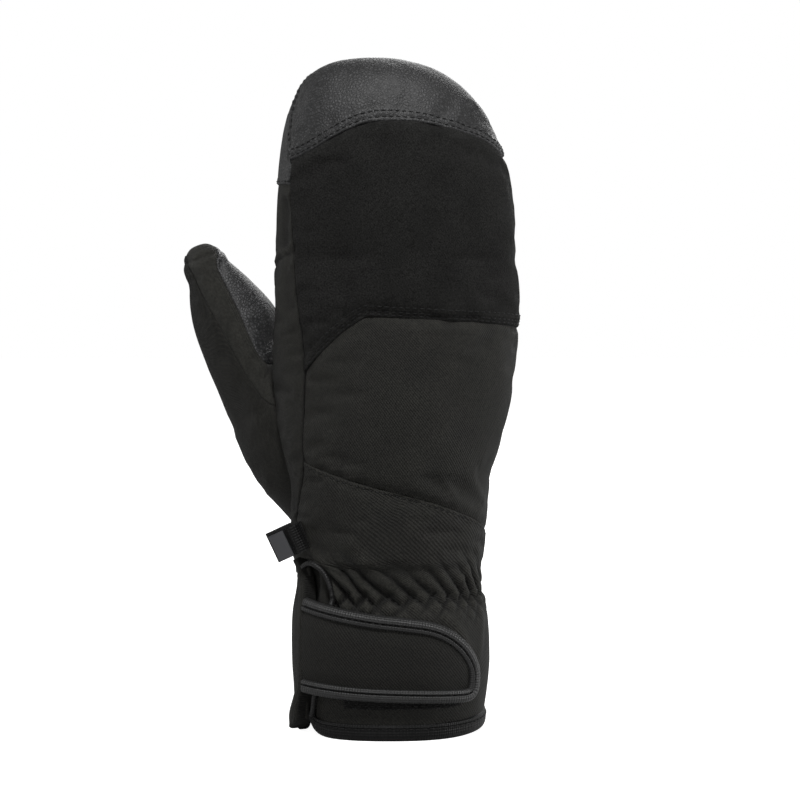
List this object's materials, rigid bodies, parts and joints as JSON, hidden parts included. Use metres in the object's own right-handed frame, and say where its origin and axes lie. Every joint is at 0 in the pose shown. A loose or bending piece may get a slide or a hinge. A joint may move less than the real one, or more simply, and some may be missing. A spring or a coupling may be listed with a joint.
{
  "type": "ski mitten",
  "caption": "Insulated right-hand ski mitten with leather palm and fingertips, softshell back, gathered wrist, peel-off wrist strap and hanging clip.",
  "frame": {"origin": "centre of the cuff hem's bottom plane", "axes": "+Z from the cuff hem to the fingertips; -Y is the back of the hand, +Y the palm; the thumb is on the -X side"},
  "size_m": [0.1428, 0.0738, 0.285],
  "materials": {
    "softshell": "matte stretch softshell",
    "leather": "pebbled, satin",
    "knit": "brushed speckled knit, matte",
    "twill": "fine diagonal twill, matte",
    "tape": "ribbed folded binding tape",
    "hook_and_loop": "hook and loop pile",
    "padding": "lofted fibre padding",
    "fleece": "brushed fleece",
    "membrane": "thin film laminate",
    "elastic": "ribbed elastic",
    "label": "plain woven label, blank",
    "clip_plastic": "moulded, satin",
    "clip_face": "moulded, satin"
  },
  "bodies": {
    "cuff": {"cuff_back_panel": "twill", "cuff_palm_panel": "softshell", "cuff_gusset": "softshell", "cuff_edge_binding": "tape", "slit_binding": "tape", "hem_binding": "tape", "loop_patch": "hook_and_loop", "cuff_padding": "padding", "cuff_lining": "fleece", "size_label": "label"},
    "strap": {"strap_face": "twill", "strap_backing": "twill", "strap_binding": "tape", "hook_patch": "hook_and_loop"},
    "hand": {"middle_panel": "twill", "lower_panel": "twill", "palm_panel": "leather", "palm_gather": "softshell", "gusset_lower": "softshell", "gusset_pleat": "softshell", "arch_binding": "tape", "wrist_elastic": "elastic", "hand_membrane": "membrane", "hand_padding": "padding", "hand_lining": "fleece", "clip_loop": "tape"},
    "fingers": {"tip_cap": "leather", "upper_panel": "knit", "finger_palm_panel": "leather", "gusset_upper": "softshell", "gusset_tip": "leather", "finger_membrane": "membrane", "finger_padding": "padding", "finger_lining": "fleece"},
    "thumb": {"thumb_outer_panel": "softshell", "thumb_strip": "softshell", "thumb_leather_patch": "leather", "thumb_palm_panel": "leather", "thumb_membrane": "membrane", "thumb_padding": "padding", "thumb_lining": "fleece"},
    "clip": {"clip_frame": "clip_plastic", "clip_plate": "clip_face"}
  },
  "joints": [
    {"name": "wrist_flex", "type": "hinge", "parent": "cuff", "child": "hand", "pos_m": [0, 0.0295, 0.064], "axis": [-1, 0, 0], "range_deg": [0, 25], "stiffness_Nm_per_rad": 0.6},
    {"name": "finger_flex", "type": "hinge", "parent": "hand", "child": "fingers", "pos_m": [0, 0.0275, 0.165], "axis": [-1, 0, 0], "range_deg": [0, 45], "stiffness_Nm_per_rad": 0.4},
    {"name": "thumb_flex", "type": "hinge", "parent": "hand", "child": "thumb", "pos_m": [-0.0375, 0.0237, 0.126], "axis": [0.2, 0, -0.9798], "range_deg": [0, 30], "stiffness_Nm_per_rad": 0.2},
    {"name": "strap_peel", "type": "hinge", "parent": "cuff", "child": "strap", "pos_m": [-0.0377, -0.026, 0.038], "axis": [0, 0, -1], "range_deg": [0, 150], "stiffness_Nm_per_rad": 0.002},
    {"name": "clip_swing", "type": "hinge", "parent": "hand", "child": "clip", "pos_m": [-0.0399, -0.0219, 0.0834], "axis": [-0.4226, 0, 0.9063], "range_deg": [-40, 60]}
  ]
}
